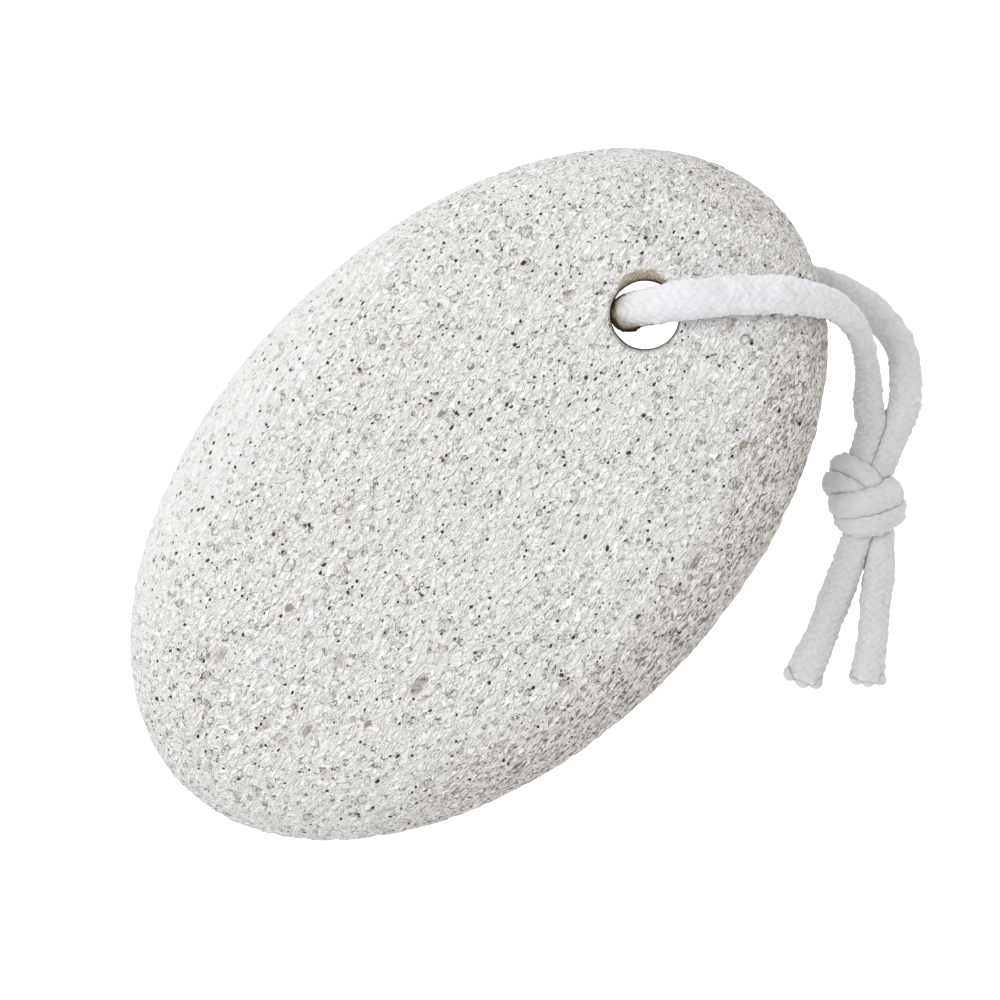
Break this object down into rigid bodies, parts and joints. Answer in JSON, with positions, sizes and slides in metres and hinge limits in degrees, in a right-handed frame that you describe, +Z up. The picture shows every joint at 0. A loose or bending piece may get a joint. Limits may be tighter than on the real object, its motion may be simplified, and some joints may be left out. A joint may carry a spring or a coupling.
{
  "type": "pumice stone",
  "caption": "Oval hand pumice stone, flat-topped with a domed underside, drilled near one end and hung on a knotted loop of white braided cord.",
  "frame": {"origin": "on the surface that the stone lies on, under the middle of the stone without its cord", "axes": "+X along the stone's long axis towards the drilled hole, +Z up out of its flat-topped face, +Y across it, away from the cord's knot"},
  "size_m": [0.0968, 0.0785, 0.0298],
  "materials": {
    "pumice": "matte",
    "white_cord": "matte"
  },
  "bodies": {
    "root": {"stone": "pumice", "cord_loop": "white_cord", "cord_knot": "white_cord", "cord_tail_left": "white_cord", "cord_tail_right": "white_cord"}
  },
  "joints": []
}
